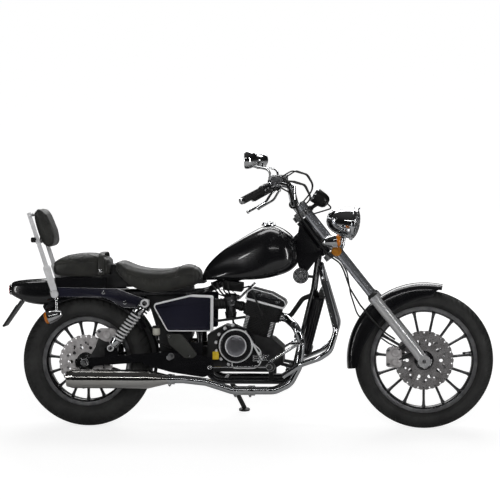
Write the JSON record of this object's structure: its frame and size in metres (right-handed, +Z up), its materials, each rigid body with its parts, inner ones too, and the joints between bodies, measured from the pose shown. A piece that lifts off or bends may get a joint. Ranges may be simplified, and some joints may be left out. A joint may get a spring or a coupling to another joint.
{
  "type": "cruiser motorcycle",
  "caption": "Cruiser motorcycle on its side stand: low stepped seat with backrest, teardrop tank, raked fork, cast wheels and a long silencer on the right.",
  "frame": {"origin": "on the floor, below the middle of the leaning motorcycle's box", "axes": "+X forward, +Y to the rider's left, +Z up; the machine leans 10 degrees to +Y on its side stand"},
  "size_m": [2.253, 0.9148, 1.3248],
  "materials": {
    "black_rubber": "matte",
    "chrome": "polished",
    "clear_lens": "clear",
    "gloss_black_paint": "gloss",
    "polished_alloy": "polished",
    "red_lens": "gloss",
    "satin_black": "satin",
    "seat_vinyl": "grained",
    "side_cover_paint": "gloss",
    "steel": "brushed",
    "tyre_rubber": "matte"
  },
  "bodies": {
    "chassis": {"frame": "gloss_black_paint", "swingarm": "gloss_black_paint", "rear_axle": "steel", "shock_absorbers": "chrome", "shock_springs": "chrome", "cylinder": "satin_black", "cylinder_head": "satin_black", "rocker_cover": "satin_black", "crankcase": "satin_black", "engine_covers": "satin_black", "carburettor": "satin_black", "exhaust_pipe": "chrome", "silencer": "chrome", "fuel_tank": "gloss_black_paint", "filler_cap": "chrome", "rider_seat": "seat_vinyl", "pillion_seat": "seat_vinyl", "backrest_pad": "seat_vinyl", "backrest_bar": "chrome", "rear_fender": "gloss_black_paint", "seat_base": "satin_black", "fender_struts": "gloss_black_paint", "side_covers": "side_cover_paint", "air_box": "satin_black", "rear_indicators": "chrome", "tail_light": "red_lens", "plate_bracket": "satin_black", "crash_bars": "chrome", "radiator": "satin_black", "radiator_hose": "black_rubber", "horn": "chrome", "foot_pegs": "satin_black", "foot_levers": "satin_black", "rear_brake": "polished_alloy", "drive_chain": "steel", "chain_guard": "satin_black"},
    "steering": {"front_axle": "steel", "fork_sliders": "polished_alloy", "fork_tubes": "chrome", "steering_yokes": "chrome", "front_fender": "gloss_black_paint", "handlebar": "chrome", "bar_risers": "chrome", "hand_grips": "black_rubber", "hand_controls": "satin_black", "mirrors": "chrome", "headlight": "chrome", "headlight_lens": "clear_lens", "speedometer": "satin_black", "front_indicators": "chrome", "front_caliper": "polished_alloy", "front_cables": "black_rubber"},
    "front_wheel": {"front_tyre": "tyre_rubber", "front_rim": "satin_black", "front_disc": "steel"},
    "rear_wheel": {"rear_tyre": "tyre_rubber", "rear_rim": "satin_black", "rear_disc": "steel", "rear_sprocket": "steel"},
    "side_stand": {"side_stand": "satin_black"}
  },
  "joints": [
    {"name": "steering_turn", "type": "hinge", "parent": "chassis", "child": "steering", "pos_m": [0.36754, -0.07422, 0.78942], "axis": [-0.6225, 0.1359, 0.7707], "range_deg": [-36, 36]},
    {"name": "front_wheel_spin", "type": "hinge", "parent": "steering", "child": "front_wheel", "pos_m": [0.8105, -0.15837, 0.31219], "axis": [0, 0.9848, -0.1736], "continuous": true},
    {"name": "rear_wheel_spin", "type": "hinge", "parent": "chassis", "child": "rear_wheel", "pos_m": [-0.7345, -0.1608, 0.2984], "axis": [0, 0.9848, -0.1736], "continuous": true},
    {"name": "side_stand_fold", "type": "hinge", "parent": "chassis", "child": "side_stand", "pos_m": [-0.0945, -0.03589, 0.18905], "axis": [-0.2647, 0.9643, -0.0038], "range_deg": [0, 115.3]}
  ]
}
